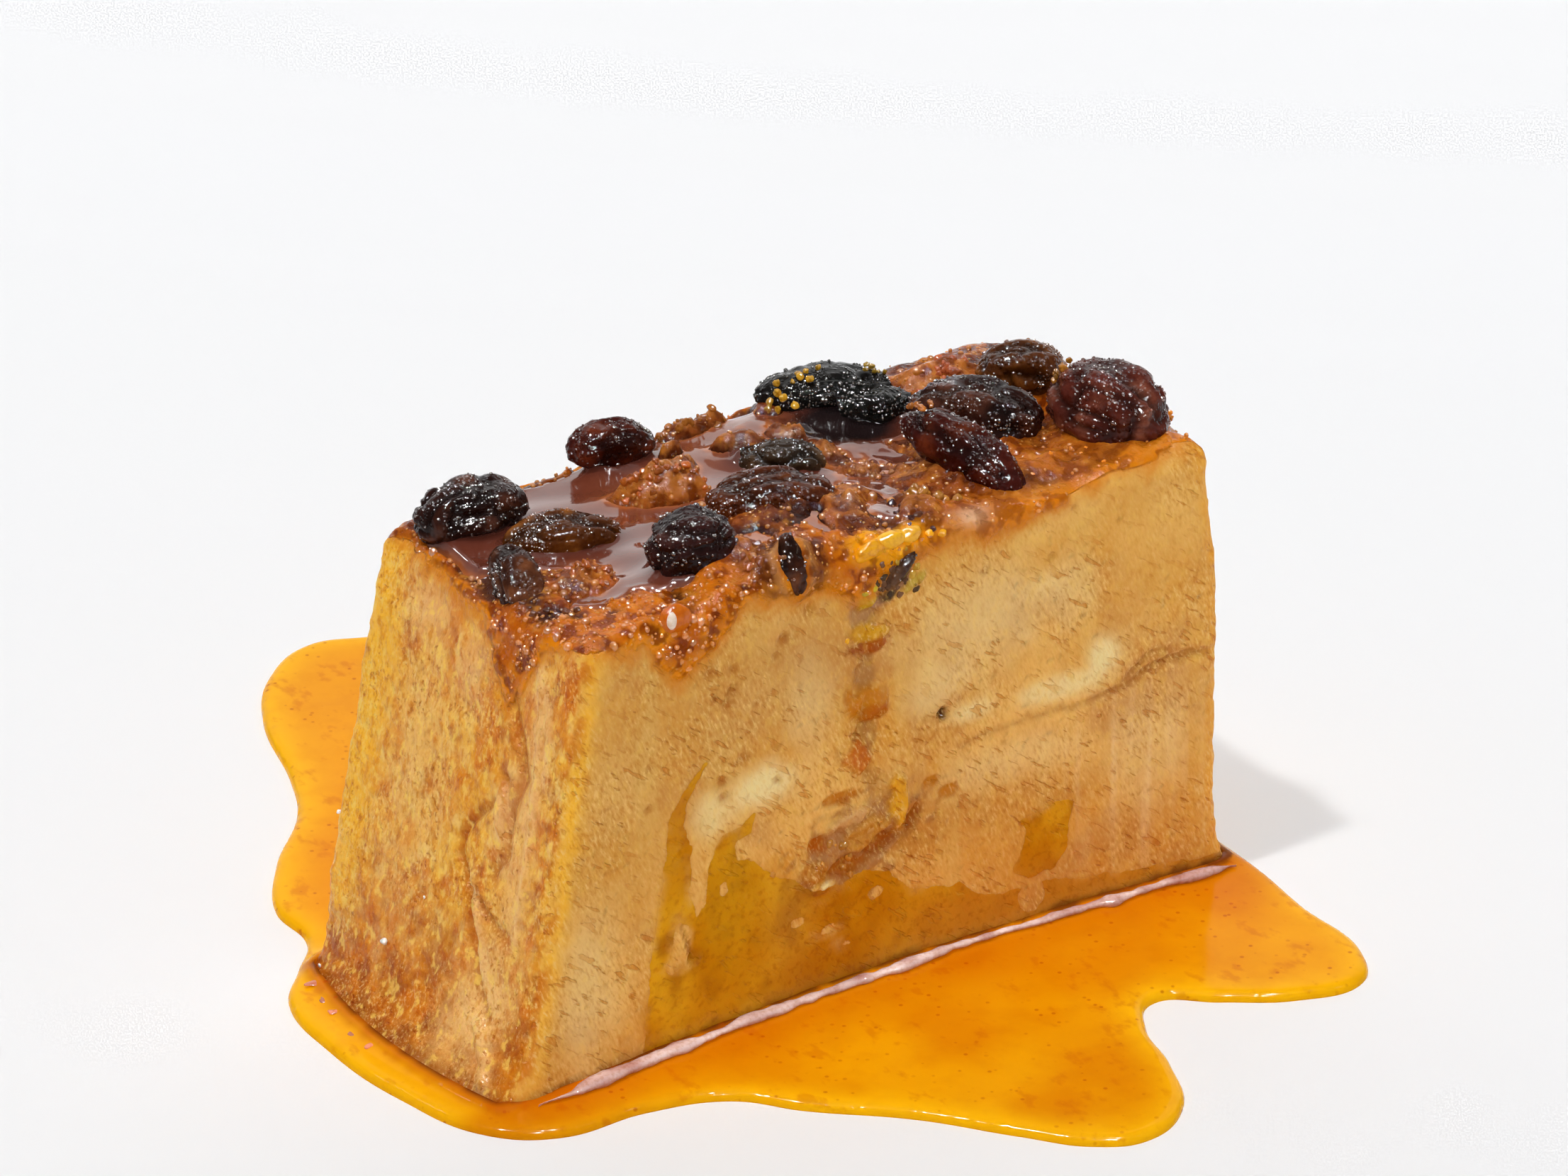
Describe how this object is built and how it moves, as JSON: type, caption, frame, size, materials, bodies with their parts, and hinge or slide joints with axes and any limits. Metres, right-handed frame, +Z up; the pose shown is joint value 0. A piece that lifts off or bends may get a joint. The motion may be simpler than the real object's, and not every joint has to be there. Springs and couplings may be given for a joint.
{
  "type": "bread pudding slice",
  "caption": "Thick slice of raisin bread pudding with a browned crust, standing upright on its base in a thin pool of caramel sauce.",
  "frame": {"origin": "middle of the slice's base, on the surface that it stands on", "axes": "+Z up; +X along the slice, from its low end to its high end; -Y out of the front cut face; the sauce runs out furthest along Y"},
  "size_m": [0.1239, 0.1695, 0.0703],
  "materials": {
    "pudding": "moist baked custard with a glazed brown crust",
    "raisin": "wrinkled and syrupy",
    "sauce": "glossy caramel"
  },
  "bodies": {
    "root": {"pudding": "pudding", "raisin_back_left": "raisin", "raisin_back": "raisin", "raisin_left_glazed": "raisin", "raisin_left_rim": "raisin", "raisin_front": "raisin", "raisin_front_upright": "raisin", "raisin_middle_glazed": "raisin", "raisin_middle_sunk": "raisin", "raisin_back_flat": "raisin", "raisin_small_pooled": "raisin", "raisin_long": "raisin", "raisin_right": "raisin", "raisin_large": "raisin", "raisin_back_right": "raisin", "raisin_cut_face": "raisin", "raisin_crumb": "raisin", "caramel_sauce": "sauce"}
  },
  "joints": []
}
